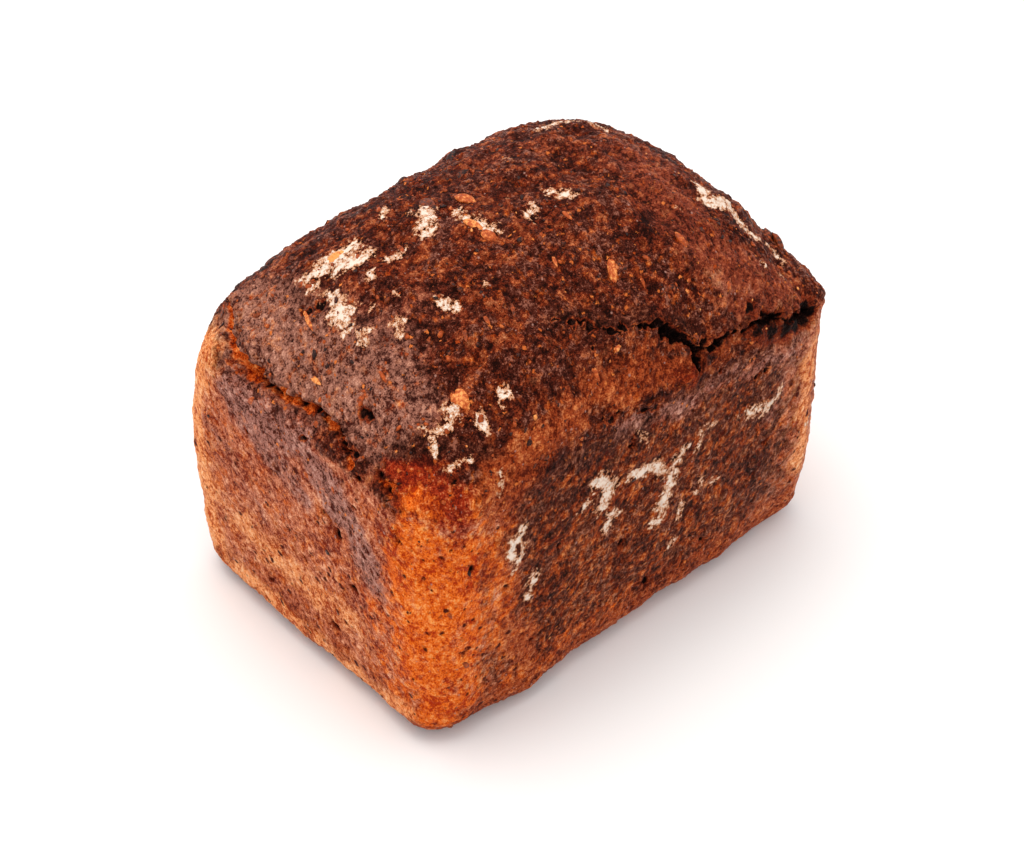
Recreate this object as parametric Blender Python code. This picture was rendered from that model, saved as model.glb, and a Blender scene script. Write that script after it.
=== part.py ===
"""A dark whole-grain rye loaf that was baked in a tin: one solid.

The tin gave it four nearly upright walls and a flat foot. Above the tin's rim the dough rose
into a dome, and where the dome's crust tore away from the walls there are cracks. Pits, lumps
of torn crust and the larger sunflower kernels stand in and out of the surface.
"""

import math
import random

import bmesh
import bpy
from mathutils import Matrix, Vector, noise
from mathutils.bvhtree import BVHTree

MM = 0.001

# What the tin shaped: X runs along the loaf, Y across it, and Z = 0 is what it stands on
RIM_LENGTH = 170 * MM
RIM_WIDTH = 117 * MM
RIM_HEIGHT = 88 * MM
RIM_CORNER = 19 * MM
FOOT_CORNER = 12 * MM
FOOT_ROUNDING = 10 * MM
TIN_TAPER = 2 * MM
WALL_SWELL = 1.8 * MM

# What rose above the tin: steep over the long walls, with a longer slope up from the end walls
DOME_RISE = 41 * MM
DOME_ACROSS = (2.3, 0.52)
DOME_ALONG = (3.3, 0.90)
DOME_CORNER = RIM_WIDTH / 2 * 0.9
DOME_CORNER_GROWTH = 6

# Where the top rose more or less than the plain dome: x, y, lift and reach
SWELLS = [
    (8 * MM, 46 * MM, 2.5 * MM, 20 * MM),
    (50 * MM, 33 * MM, 5.0 * MM, 17 * MM),
    (69 * MM, 0 * MM, 4.0 * MM, 24 * MM),
    (76 * MM, -50 * MM, -3.0 * MM, 16 * MM),
]

# The grid of faces, finer along the cracks
FACES_ALONG, FACES_ACROSS, FACES_UP = 32, 24, 18
FINE_REACH = 4.5 * MM

# Unevenness of the crust: the size of its bumps and how far they stand out
BROAD_BUMP, BROAD_HEIGHT = 26 * MM, 1.1 * MM
SMALL_BUMP, SMALL_HEIGHT = 9 * MM, 1.5 * MM
WALL_SHARE = 0.45

# Cracks: points along each in mm, half-width at its start and end, depth, and the lip above it
CRACKS = [
    ([(-64, 57, 96), (-76, 46, 96), (-81, 36, 94), (-82, 18, 94), (-80, -2, 96), (-82, -18, 94), (-85, -29, 87)],
     2.8 * MM, 1.2 * MM, 3.6 * MM, 1.6 * MM),
    ([(-82, -32, 93), (-85, -41, 87), (-85, -43, 77), (-85, -45, 70)],
     1.3 * MM, 0.9 * MM, 2.2 * MM, 0.5 * MM),
    ([(-21, -39, 119), (-9, -47, 113), (8, -50, 110), (13, -53, 105), (19, -57, 98), (18, -58, 91)],
     1.4 * MM, 2.4 * MM, 3.2 * MM, 0.8 * MM),
    ([(19, -57, 98), (28, -57, 98), (42, -57, 97), (54, -57, 95), (66, -58, 90)],
     1.8 * MM, 2.2 * MM, 3.0 * MM, 1.2 * MM),
    ([(-20, -58, 94), (-6, -58, 91), (6, -58, 87)],
     1.2 * MM, 1.2 * MM, 1.8 * MM, 0.8 * MM),
    ([(85, 44, 88), (82, 26, 94), (80, 4, 97), (83, -16, 92), (85, -34, 87)],
     1.2 * MM, 2.6 * MM, 3.2 * MM, 1.4 * MM),
    ([(58, 58, 91), (33, 57, 97), (6, 57, 96), (-14, 58, 91), (-34, 57, 95), (-52, 58, 90)],
     2.2 * MM, 1.4 * MM, 3.0 * MM, 1.2 * MM),
]

# Pits: place, reach and depth. The last is the burst bubble at the far front corner.
PITS = [
    ((-86, -12, 65), 3.0 * MM, 2.6 * MM),
    ((-86, -18, 61), 3.2 * MM, 2.8 * MM),
    ((-86, -25, 45), 3.0 * MM, 2.6 * MM),
    ((-85, -14, 22), 2.8 * MM, 2.2 * MM),
    ((4, -58, 17), 2.8 * MM, 2.2 * MM),
    ((-76, -19, 102), 3.0 * MM, 2.4 * MM),
    ((52, -59, 46), 2.8 * MM, 1.8 * MM),
    ((86, 14, 58), 3.2 * MM, 2.6 * MM),
    ((86, -22, 34), 2.8 * MM, 2.2 * MM),
    ((-22, 59, 52), 3.0 * MM, 2.4 * MM),
    ((38, 59, 24), 2.8 * MM, 2.2 * MM),
    ((69, -58, 91), 4.6 * MM, 5.5 * MM),
]

# Lumps of crust that stand out at the edges: place, reach and height
LUMPS = [
    ((78, -53, 90), 5.0 * MM, 1.6 * MM),
    ((-66, 51, 103), 6.0 * MM, 1.2 * MM),
    ((-80, 55, 91), 8.0 * MM, -2.0 * MM),
    ((-9, 41, 120), 5.0 * MM, 1.2 * MM),
    ((11, 44, 121), 6.0 * MM, 1.2 * MM),
    ((-84, 46, 62), 26.0 * MM, 1.6 * MM),
    ((-46, -56, 5), 13.0 * MM, 2.2 * MM),
    ((64, -56, 8), 14.0 * MM, -2.4 * MM),
    ((86, -46, 60), 24.0 * MM, -1.6 * MM),
    ((-45, -57, 97), 10.0 * MM, 1.5 * MM),
    ((14, -57, 94), 7.0 * MM, 1.5 * MM),
    ((80, 50, 92), 7.0 * MM, 1.8 * MM),
]

# Sunflower kernels that show: both tips in mm, and the width
KERNELS = [
    ((-11, 17, 129), (-9, 8, 129), 5.2 * MM),
    ((-17, 23, 127), (-20, 15, 128), 4.6 * MM),
    ((-4, 25, 128), (3, 25, 128), 3.0 * MM),
    ((-19, -2, 129), (-16, -10, 129), 4.4 * MM),
    ((-58, -35, 112), (-58, -44, 108), 5.6 * MM),
    ((6, -31, 123), (2, -39, 120), 4.2 * MM),
    ((30, -32, 122), (31, -40, 118), 3.6 * MM),
    ((-19, -49, 110), (-19, -55, 104), 2.8 * MM),
    ((-44, -23, 122), (-48, -31, 118), 2.6 * MM),
    ((-65, 21, 111), (-68, 13, 110), 2.8 * MM),
    ((-76, -15, 102), (-72, -17, 106), 3.0 * MM),
    ((-85, 40, 78), (-86, 33, 70), 2.8 * MM),
]
KERNEL_THICKNESS = 2.8 * MM
KERNEL_RAISED = 0.08
KERNEL_SIDES, KERNEL_RINGS = 6, 4

# Kernels on the sides that no picture shows, strewn over the same crust
HIDDEN_KERNELS = 12
KERNEL_LENGTHS = (6.5 * MM, 9.0 * MM)
STREWING_SEED = 7


def blend(start, end, share):
    """The value that lies at share of the way from start to end."""
    return start + (end - start) * share


def smooth_step(low, high, value):
    """0 up to low, 1 from high on, and a smooth rise between them."""
    share = max(0.0, min(1.0, (value - low) / (high - low)))
    return share * share * (3 - 2 * share)


def outline_point(u, v, half_length, half_width, corner):
    """The place on a round-cornered rectangle that (u, v) on a square's edge stands for."""
    x = u * half_length
    y = v * half_width
    inner_x = max(corner - half_length, min(half_length - corner, x))
    inner_y = max(corner - half_width, min(half_width - corner, y))
    out = Vector((x - inner_x, y - inner_y)).normalized() * corner
    return inner_x + out.x, inner_y + out.y


def wall_point(u, v, share):
    """A point of the walls: round the foot, then up the leaning, slightly bowed side to the rim."""
    foot_arc = FOOT_ROUNDING * math.pi / 2
    run = share * (foot_arc + RIM_HEIGHT - FOOT_ROUNDING)
    angle = min(run, foot_arc) / FOOT_ROUNDING
    height = FOOT_ROUNDING * (1 - math.cos(angle)) + max(0.0, run - foot_arc)
    rounding = FOOT_ROUNDING * (1 - math.sin(angle))
    level = height / RIM_HEIGHT
    inset = TIN_TAPER * (1 - level) - WALL_SWELL * math.sin(math.pi * level) + rounding
    corner = max(blend(FOOT_CORNER, RIM_CORNER, level) - rounding, 2 * MM)
    x, y = outline_point(u, v, RIM_LENGTH / 2 - inset, RIM_WIDTH / 2 - inset, corner)
    return Vector((x, y, height))


def dome_point(u, v):
    """A point of the risen top: the rim's outline, drawn in towards the middle and lifted."""
    ring = max(abs(u), abs(v), 1e-6)
    reach = math.sin(ring * math.pi / 2)
    corner = reach * blend(DOME_CORNER, RIM_CORNER, reach**DOME_CORNER_GROWTH)
    half_length = RIM_LENGTH / 2 * reach
    half_width = RIM_WIDTH / 2 * reach
    x, y = outline_point(u / ring, v / ring, half_length, half_width, corner)
    along = (x / RIM_LENGTH) ** 2
    across = (y / RIM_WIDTH) ** 2
    toward_end = smooth_step(0, 1, along / (along + across + 1e-12))
    power = blend(DOME_ACROSS[0], DOME_ALONG[0], toward_end)
    root = blend(DOME_ACROSS[1], DOME_ALONG[1], toward_end)
    lift = DOME_RISE * max(0.0, 1 - reach**power) ** root
    for swell_x, swell_y, rise, spread in SWELLS:
        away = ((x - swell_x) ** 2 + (y - swell_y) ** 2) / (2 * spread**2)
        lift += rise * math.exp(-away) * (1 - reach**16)
    return Vector((x, y, RIM_HEIGHT + lift))


def loaf_point(place):
    """Where a point of the cube that reaches from -1 to 1 lies on the smooth loaf."""
    u, v, w = place
    if w > 1 - 1e-6:
        return dome_point(u, v)
    return wall_point(u, v, (w + 1) / 2)


def cut_into_grid(mesh):
    """Cuts the cube's faces into a grid, and leaves the foot one flat face."""
    for axis, faces in enumerate((FACES_ALONG, FACES_ACROSS, FACES_UP)):
        edges = []
        for edge in mesh.edges:
            step = edge.verts[0].co - edge.verts[1].co
            if abs(step[axis]) > 1.5:
                edges.append(edge)
        bmesh.ops.subdivide_edges(mesh, edges=edges, cuts=faces - 1, use_grid_fill=True)
    foot = [face for face in mesh.faces if face.calc_center_median().z < -0.999]
    bmesh.ops.dissolve_faces(mesh, faces=foot, use_verts=False)


def nearest_on_route(point, route):
    """The distance from a point to a route, how far along it that is from 0 to 1, and its place."""
    best = (1e9, 0.0, route[0])
    for index in range(len(route) - 1):
        start = route[index]
        step = route[index + 1] - start
        share = max(0.0, min(1.0, (point - start).dot(step) / step.length_squared))
        place = start + step * share
        distance = (point - place).length
        if distance < best[0]:
            best = (distance, (index + share) / (len(route) - 1), place)
    return best


def refine_along(mesh, routes):
    """Halves the faces of the cube that lie along the cracks."""
    near = set()
    for face in mesh.faces:
        centre = loaf_point(face.calc_center_median())
        for route in routes:
            if len(face.verts) == 4 and nearest_on_route(centre, route)[0] < FINE_REACH:
                near.update(face.edges)
                break
    bmesh.ops.subdivide_edges(mesh, edges=list(near), cuts=1, use_grid_fill=True)


def unevenness(point, on_wall):
    """How far the plain crust stands out at a point, with its bumps flatter on the walls."""
    broad = noise.noise(point / BROAD_BUMP) * BROAD_HEIGHT
    small = noise.noise(point / SMALL_BUMP + Vector((5, 9, 2))) * SMALL_HEIGHT
    return (broad + small) * blend(1, WALL_SHARE, on_wall)


def crack_height(point, crack, route):
    """How far a crack draws the crust in, and its upper lip pushes it out."""
    _, start_width, end_width, depth, lip = crack
    distance, share, place = nearest_on_route(point, route)
    ragged = 1 + 0.5 * noise.noise(point / (4 * MM))
    width = blend(start_width, end_width, share) * ragged
    groove = -depth * max(0.0, 1 - (distance / width) ** 2)
    is_above = smooth_step(0, 2 * MM, point.z - place.z)
    ridge = lip * is_above * math.exp(-(((distance - width) / (3.5 * MM)) ** 2))
    fade = smooth_step(0, 0.08, share) * smooth_step(1, 0.92, share)
    return (groove + ridge) * fade


def relief(point, routes):
    """How far the crust stands out from the smooth loaf at a point."""
    on_wall = smooth_step(RIM_HEIGHT + 8 * MM, RIM_HEIGHT - 6 * MM, point.z)
    height = unevenness(point, on_wall)
    for crack, route in zip(CRACKS, routes):
        height += crack_height(point, crack, route)
    for place, reach, depth in PITS:
        distance = (point - Vector(place) * MM).length
        height -= depth * math.exp(-((distance / reach) ** 2))
    for place, reach, rise in LUMPS:
        distance = (point - Vector(place) * MM).length
        height += rise * math.exp(-((distance / reach) ** 2))
    return height * smooth_step(0, FOOT_ROUNDING / 2, point.z)


def shape_loaf():
    """The loaf's own mesh, with its cracks, pits and lumps, but no kernels."""
    mesh = bmesh.new()
    bmesh.ops.create_cube(mesh, size=2)
    cut_into_grid(mesh)
    routes = []
    for crack in CRACKS:
        routes.append([Vector(point) * MM for point in crack[0]])
    refine_along(mesh, routes)
    for vertex in mesh.verts:
        vertex.co = loaf_point(vertex.co)
    mesh.normal_update()
    moves = []
    for vertex in mesh.verts:
        moves.append(vertex.normal * relief(vertex.co, routes))
    for vertex, move in zip(mesh.verts, moves):
        vertex.co += move
    bmesh.ops.triangulate(mesh, faces=mesh.faces)
    data = bpy.data.meshes.new("loaf")
    mesh.to_mesh(data)
    mesh.free()
    return data


def kernel_object(name, tips, width, surface):
    """One kernel, lying from tip to tip and sunk by nearly half of its thickness."""
    middle = (tips[0] + tips[1]) / 2
    place, normal, _, _ = surface.find_nearest(middle)
    along = tips[1] - tips[0]
    length = along.length
    along = (along - normal * along.dot(normal)).normalized()
    turn = Matrix((along, normal.cross(along), normal)).transposed().to_4x4()
    size = Matrix.Diagonal((length, width, KERNEL_THICKNESS, 1))
    mesh = bmesh.new()
    bmesh.ops.create_uvsphere(
        mesh, u_segments=KERNEL_SIDES, v_segments=KERNEL_RINGS, radius=0.5,
        matrix=Matrix.Rotation(math.pi / 2, 4, "Y"),
    )
    bmesh.ops.transform(mesh, matrix=turn @ size, verts=mesh.verts)
    data = bpy.data.meshes.new(name)
    mesh.to_mesh(data)
    mesh.free()
    kernel = bpy.data.objects.new(name, data)
    kernel.location = place + normal * KERNEL_THICKNESS * KERNEL_RAISED
    return kernel


def hidden_kernel_tips(draw):
    """Tips of a kernel somewhere on the back half of the dome, or on the back or far wall."""
    x = draw.uniform(-60 * MM, 74 * MM)
    y = draw.uniform(50 * MM, 58 * MM)
    z = draw.choice((RIM_HEIGHT * 0.5, RIM_HEIGHT * 1.2, RIM_HEIGHT * 1.2))
    if draw.random() < 0.4:
        x = draw.uniform(79 * MM, 85 * MM)
        y = draw.uniform(-40 * MM, 40 * MM)
    middle = Vector((x, y, z))
    heading = draw.uniform(0, math.pi)
    half = Vector((math.cos(heading), math.sin(heading), 0)) * draw.uniform(*KERNEL_LENGTHS) / 2
    return middle - half, middle + half


def fuse_kernels(loaf):
    """Fuses all kernels to the loaf with one Boolean union."""
    surface = BVHTree.FromObject(loaf, bpy.context.evaluated_depsgraph_get())
    kernels = bpy.data.collections.new("kernels")
    for index, (start, end, width) in enumerate(KERNELS):
        tips = (Vector(start) * MM, Vector(end) * MM)
        kernels.objects.link(kernel_object(f"kernel_{index}", tips, width, surface))
    draw = random.Random(STREWING_SEED)
    for index in range(HIDDEN_KERNELS):
        tips = hidden_kernel_tips(draw)
        width = draw.uniform(3.6 * MM, 5.0 * MM)
        kernels.objects.link(kernel_object(f"hidden_kernel_{index}", tips, width, surface))
    union = loaf.modifiers.new("kernels", "BOOLEAN")
    union.operation = "UNION"
    union.operand_type = "COLLECTION"
    union.collection = kernels
    union.solver = "MANIFOLD"
    bpy.context.view_layer.objects.active = loaf
    bpy.ops.object.modifier_apply(modifier=union.name)
    for kernel in list(kernels.objects):
        bpy.data.objects.remove(kernel)
    bpy.data.collections.remove(kernels)


def rye_crust():
    """Dark rye crust: matt to satin, without any metal."""
    crust = bpy.data.materials.new("rye_crust")
    crust.use_nodes = True
    shader = crust.node_tree.nodes["Principled BSDF"]
    shader.inputs["Base Color"].default_value = (0.17, 0.055, 0.028, 1)
    shader.inputs["Roughness"].default_value = 0.6
    shader.inputs["Metallic"].default_value = 0
    return crust


def set_on_foot(loaf):
    """Puts the origin under the middle of the loaf's box, at the height of its foot."""
    corners = [Vector(corner) for corner in loaf.bound_box]
    low = Vector(map(min, zip(*corners)))
    high = Vector(map(max, zip(*corners)))
    middle = (low + high) / 2
    loaf.data.transform(Matrix.Translation((-middle.x, -middle.y, -low.z)))


def main():
    for old in list(bpy.data.objects):
        bpy.data.objects.remove(old)
    loaf = bpy.data.objects.new("loaf", shape_loaf())
    bpy.context.scene.collection.objects.link(loaf)
    bpy.context.view_layer.update()
    fuse_kernels(loaf)
    set_on_foot(loaf)
    loaf.data.materials.clear()
    loaf.data.materials.append(rye_crust())
    loaf.data.shade_smooth()
    loaf.data.set_sharp_from_angle(angle=math.radians(50))


main()
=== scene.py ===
"""The looks of a dark whole-grain rye loaf that was baked in a tin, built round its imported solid."""

import math
import random

import bmesh
import bpy
import numpy as np
from mathutils import Matrix, Vector, noise
from mathutils.bvhtree import BVHTree


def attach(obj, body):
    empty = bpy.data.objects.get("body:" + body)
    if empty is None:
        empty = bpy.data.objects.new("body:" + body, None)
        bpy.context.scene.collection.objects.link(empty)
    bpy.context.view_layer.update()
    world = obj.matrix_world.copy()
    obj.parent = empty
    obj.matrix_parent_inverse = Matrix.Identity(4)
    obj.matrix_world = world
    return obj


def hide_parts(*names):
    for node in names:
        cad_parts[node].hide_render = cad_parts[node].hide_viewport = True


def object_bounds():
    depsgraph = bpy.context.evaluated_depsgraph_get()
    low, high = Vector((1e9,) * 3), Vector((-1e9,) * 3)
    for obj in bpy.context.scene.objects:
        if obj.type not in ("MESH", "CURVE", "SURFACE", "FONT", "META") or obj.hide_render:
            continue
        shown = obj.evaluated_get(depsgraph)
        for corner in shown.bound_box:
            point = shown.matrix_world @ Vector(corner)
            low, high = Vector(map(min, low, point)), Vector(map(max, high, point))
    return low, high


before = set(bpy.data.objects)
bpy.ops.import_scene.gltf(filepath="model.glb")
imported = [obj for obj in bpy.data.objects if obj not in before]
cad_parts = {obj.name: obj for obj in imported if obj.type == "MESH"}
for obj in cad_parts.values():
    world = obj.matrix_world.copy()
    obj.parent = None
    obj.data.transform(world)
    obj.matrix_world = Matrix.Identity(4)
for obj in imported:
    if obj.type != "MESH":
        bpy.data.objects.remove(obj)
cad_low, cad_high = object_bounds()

MM = 0.001
scene = bpy.context.scene

# Blender's vector noise takes its start from the clock unless it is given a seed
NOISE_SEED = 3
noise.seed_set(NOISE_SEED)

# The camera. It looks at the loaf's middle from the left of the front and from above, a long
# lens at the distance where the loaf is as large as in the picture, and it leans a little.
PICTURE_WIDTH, PICTURE_HEIGHT = 1024, 856
VIEW_TURN, VIEW_DOWN, VIEW_LEAN = math.radians(44.2), math.radians(39), math.radians(2.3)
FOCAL_LENGTH = 2200
PIXELS_PER_MM = 3.19
LOAF_MIDDLE = Vector((0, 0, 50 * MM))
MIDDLE_PIXEL = (512.2, 415.5)

flat_right = Vector((math.cos(VIEW_TURN), -math.sin(VIEW_TURN), 0))
away = Vector((math.sin(VIEW_TURN), math.cos(VIEW_TURN), 0)) * math.cos(VIEW_DOWN)
away.z = -math.sin(VIEW_DOWN)
flat_up = flat_right.cross(away)
right = flat_right * math.cos(VIEW_LEAN) + flat_up * math.sin(VIEW_LEAN)
up = flat_up * math.cos(VIEW_LEAN) - flat_right * math.sin(VIEW_LEAN)
eye = LOAF_MIDDLE - away * (FOCAL_LENGTH / PIXELS_PER_MM * MM)

lens = bpy.data.cameras.new("camera")
lens.lens = lens.sensor_width * FOCAL_LENGTH / PICTURE_WIDTH
lens.shift_x = (PICTURE_WIDTH / 2 - MIDDLE_PIXEL[0]) / PICTURE_WIDTH
lens.shift_y = (MIDDLE_PIXEL[1] - PICTURE_HEIGHT / 2) / PICTURE_WIDTH
camera = bpy.data.objects.new("camera", lens)
camera.matrix_world = Matrix.Translation(eye) @ Matrix((right, up, -away)).transposed().to_4x4()
scene.collection.objects.link(camera)
scene.camera = camera


def sight(px, py):
    """The direction in which the camera sees a pixel of the picture."""
    across = (px - MIDDLE_PIXEL[0]) / FOCAL_LENGTH
    down = (py - MIDDLE_PIXEL[1]) / FOCAL_LENGTH
    return (away + right * across - up * down).normalized()


# The floor and the light. A pale matt sheet stands in an even pale surround under one broad soft
# lamp high up on the left and behind, so that the top is lightest and the long wall darkest.
FLOOR_REACH = 6
SURROUND_STRENGTH = 1.02
LAMP_SIZE, LAMP_POWER, LAMP_DISTANCE = 0.9, 9, 1.2
LAMP_WAY = Vector((-0.14, 0.14, 1.0)).normalized()

scene.view_settings.view_transform = "Standard"


def linear(code):
    """The linear colour, with an alpha of 1, of an sRGB hex code."""
    colour = []
    for start in (0, 2, 4):
        value = int(code[start : start + 2], 16) / 255
        colour.append(value / 12.92 if value <= 0.04045 else ((value + 0.055) / 1.055) ** 2.4)
    return (*colour, 1)


def add_node(tree, kind, inputs, out=0, **settings):
    """Adds a shader node with its settings, its values and its links, and gives its output."""
    node = tree.nodes.new(kind)
    for name, value in settings.items():
        setattr(node, name, value)
    for socket, value in inputs.items():
        if isinstance(value, bpy.types.NodeSocket):
            tree.links.new(value, node.inputs[socket])
        else:
            node.inputs[socket].default_value = value
    return node.outputs[out]


def new_material(name):
    """A material with an empty Principled shader, its node tree and that shader."""
    material = bpy.data.materials.new(name)
    material.use_nodes = True
    return material, material.node_tree, material.node_tree.nodes["Principled BSDF"]


# Uncoated paper: the eye sees an even white without any shine
paper, _, paper_shader = new_material("matt_white_paper")
paper_shader.inputs["Base Color"].default_value = linear("f4f3f2")
paper_shader.inputs["Roughness"].default_value = 0.9
paper_shader.inputs["Specular IOR Level"].default_value = 0.1
sheet = bmesh.new()
bmesh.ops.create_grid(sheet, x_segments=1, y_segments=1, size=FLOOR_REACH)
floor_data = bpy.data.meshes.new("floor")
sheet.to_mesh(floor_data)
sheet.free()
floor_data.materials.append(paper)
floor = bpy.data.objects.new("floor", floor_data)
scene.collection.objects.link(floor)

surround = bpy.data.worlds.new("surround")
surround.use_nodes = True
background = surround.node_tree.nodes["Background"]
background.inputs["Color"].default_value = linear("faf9fa")
background.inputs["Strength"].default_value = SURROUND_STRENGTH
scene.world = surround

lamp_light = bpy.data.lights.new("soft_lamp", "AREA")
lamp_light.size = LAMP_SIZE
lamp_light.energy = LAMP_POWER
lamp_light.color = linear("fffaf4")[:3]
lamp = bpy.data.objects.new("soft_lamp", lamp_light)
lamp.location = LOAF_MIDDLE + LAMP_WAY * LAMP_DISTANCE
lamp.rotation_euler = (LOAF_MIDDLE - lamp.location).to_track_quat("-Z", "Y").to_euler()
scene.collection.objects.link(lamp)

# The loaf's form. The tin shaped the walls, the rounded foot and the upright edges, and the
# dough rose above the rim into a dome that is steep over the long walls and slopes at the ends.
CRUST_PROUD_LENGTHWAYS, CRUST_PROUD_CROSSWAYS = 2.75 * MM, 1.8 * MM
RIM_LENGTH = cad_high.x - cad_low.x - 2 * CRUST_PROUD_LENGTHWAYS
RIM_WIDTH = cad_high.y - cad_low.y - 2 * CRUST_PROUD_CROSSWAYS
RIM_HEIGHT = 88 * MM
RIM_CORNER, FOOT_CORNER, FOOT_ROUNDING = 19 * MM, 12 * MM, 10 * MM
TIN_TAPER, WALL_SWELL = 2 * MM, 1.8 * MM
DOME_RISE = 41 * MM
DOME_ACROSS, DOME_ALONG = (2.3, 0.52), (3.3, 0.90)
DOME_CORNER, DOME_CORNER_GROWTH = RIM_WIDTH / 2 * 0.9, 6
SWELL_FADE = 16
LEAST_CORNER = 2 * MM
# Swells of the dome: its place in x and y, then how high it rises and how far it spreads
SWELLS = [
    (8 * MM, 46 * MM, 2.5 * MM, 20 * MM),
    (50 * MM, 33 * MM, 5.0 * MM, 17 * MM),
    (69 * MM, 0 * MM, 4.0 * MM, 24 * MM),
    (76 * MM, -50 * MM, -3.0 * MM, 16 * MM),
]
FACE_SIZE = 0.62 * MM


def blend(start, end, share):
    """The value that lies at share of the way from start to end."""
    return start + (end - start) * share


def smooth_step(low, high, value):
    """0 up to low, 1 from high on, and a smooth rise between them."""
    share = max(0.0, min(1.0, (value - low) / (high - low)))
    return share * share * (3 - 2 * share)


def outline_point(u, v, half_length, half_width, corner):
    """The place on a round-cornered rectangle that (u, v) on a square's edge stands for."""
    x = u * half_length
    y = v * half_width
    inner_x = max(corner - half_length, min(half_length - corner, x))
    inner_y = max(corner - half_width, min(half_width - corner, y))
    out = Vector((x - inner_x, y - inner_y)).normalized() * corner
    return inner_x + out.x, inner_y + out.y


def wall_point(u, v, share):
    """A point of the walls: round the foot, then up the leaning, slightly bowed side to the rim."""
    foot_arc = FOOT_ROUNDING * math.pi / 2
    run = share * (foot_arc + RIM_HEIGHT - FOOT_ROUNDING)
    angle = min(run, foot_arc) / FOOT_ROUNDING
    height = FOOT_ROUNDING * (1 - math.cos(angle)) + max(0.0, run - foot_arc)
    rounding = FOOT_ROUNDING * (1 - math.sin(angle))
    level = height / RIM_HEIGHT
    inset = TIN_TAPER * (1 - level) - WALL_SWELL * math.sin(math.pi * level) + rounding
    corner = max(blend(FOOT_CORNER, RIM_CORNER, level) - rounding, LEAST_CORNER)
    x, y = outline_point(u, v, RIM_LENGTH / 2 - inset, RIM_WIDTH / 2 - inset, corner)
    return Vector((x, y, height))


def dome_point(u, v):
    """A point of the risen top: the rim's outline, drawn in towards the middle and lifted."""
    ring = max(abs(u), abs(v), 1e-6)
    reach = math.sin(ring * math.pi / 2)
    corner = reach * blend(DOME_CORNER, RIM_CORNER, reach**DOME_CORNER_GROWTH)
    half_length = RIM_LENGTH / 2 * reach
    half_width = RIM_WIDTH / 2 * reach
    x, y = outline_point(u / ring, v / ring, half_length, half_width, corner)
    along = (x / RIM_LENGTH) ** 2
    across = (y / RIM_WIDTH) ** 2
    toward_end = smooth_step(0, 1, along / (along + across + 1e-12))
    power = blend(DOME_ACROSS[0], DOME_ALONG[0], toward_end)
    root = blend(DOME_ACROSS[1], DOME_ALONG[1], toward_end)
    lift = DOME_RISE * max(0.0, 1 - reach**power) ** root
    for swell_x, swell_y, rise, spread in SWELLS:
        away_from_it = ((x - swell_x) ** 2 + (y - swell_y) ** 2) / (2 * spread**2)
        lift += rise * math.exp(-away_from_it) * (1 - reach**SWELL_FADE)
    return Vector((x, y, RIM_HEIGHT + lift))


def loaf_point(place):
    """Where a point of the cube that reaches from -1 to 1 lies on the smooth loaf."""
    u, v, w = place
    if w > 1 - 1e-6:
        return dome_point(u, v)
    return wall_point(u, v, (w + 1) / 2)


crust = bmesh.new()
bmesh.ops.create_cube(crust, size=2)
foot_face = [face for face in crust.faces if face.calc_center_median().z < -0.9]
bmesh.ops.delete(crust, geom=foot_face, context="FACES_ONLY")
wall_run = RIM_HEIGHT + FOOT_ROUNDING * (math.pi / 2 - 1)
for axis, run in enumerate((RIM_LENGTH, RIM_WIDTH, wall_run)):
    long_edges = []
    for edge in crust.edges:
        step = edge.verts[0].co - edge.verts[1].co
        if abs(step[axis]) > 1.5:
            long_edges.append(edge)
    cuts = round(run / FACE_SIZE) - 1
    bmesh.ops.subdivide_edges(crust, edges=long_edges, cuts=cuts, use_grid_fill=True)

# The smooth loaf, still without cracks, pits and bumps, and what the camera sees of it. Marks on
# it are measured from places that waver, so that every mark has a ragged edge.
SMALL_WAVER, BROAD_WAVER = (2.2 * MM, 1.5 * MM), (12 * MM, 5 * MM)
STEP_INWARDS = 0.01

side = crust.faces.layers.int.new("side")
SIDES = ("top", "front_wall", "back_wall", "near_end", "far_end", "foot")
for face in crust.faces:
    u, v, w = face.calc_center_median()
    reached = [w, -v, v, -u, u]
    face[side] = reached.index(max(reached))
for vertex in crust.verts:
    vertex.co = loaf_point(vertex.co)
open_edges = [edge for edge in crust.edges if edge.is_boundary]
for face in bmesh.ops.contextual_create(crust, geom=open_edges)["faces"]:
    face[side] = SIDES.index("foot")
crust.normal_update()
smooth_loaf = BVHTree.FromBMesh(crust)
points = np.array([vertex.co for vertex in crust.verts])
size, reach = SMALL_WAVER
ragged = points + np.array([noise.noise_vector(vertex.co / size) for vertex in crust.verts]) * reach
size, reach = BROAD_WAVER
wavering = ragged + np.array([noise.noise_vector(vertex.co / size) for vertex in crust.verts]) * reach


def seen(px, py):
    """The place on the smooth loaf seen at a pixel, or at the first one inwards that meets it."""
    place = None
    while place is None:
        place = smooth_loaf.ray_cast(eye, sight(px, py))[0]
        px = blend(px, MIDDLE_PIXEL[0], STEP_INWARDS)
        py = blend(py, MIDDLE_PIXEL[1], STEP_INWARDS)
    return place


def marked(spread, strokes):
    """How strongly strokes of (reach in mm, strength, pixels passed) mark each of many points."""
    bare = np.ones(len(spread))
    for reach, strength, pixels in strokes:
        places = [np.array(seen(px, py)) for px, py in pixels]
        distance = np.full(len(spread), 1e9)
        for start, end in zip(places, places[1:] or places):
            step = end - start
            share = np.clip((spread - start) @ step / (step @ step + 1e-12), 0, 1)
            off = spread - start - share[:, None] * step
            distance = np.minimum(distance, np.linalg.norm(off, axis=1))
        bare *= 1 - strength * np.exp(-((distance / (reach * MM)) ** 2))
    return 1 - bare


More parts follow.
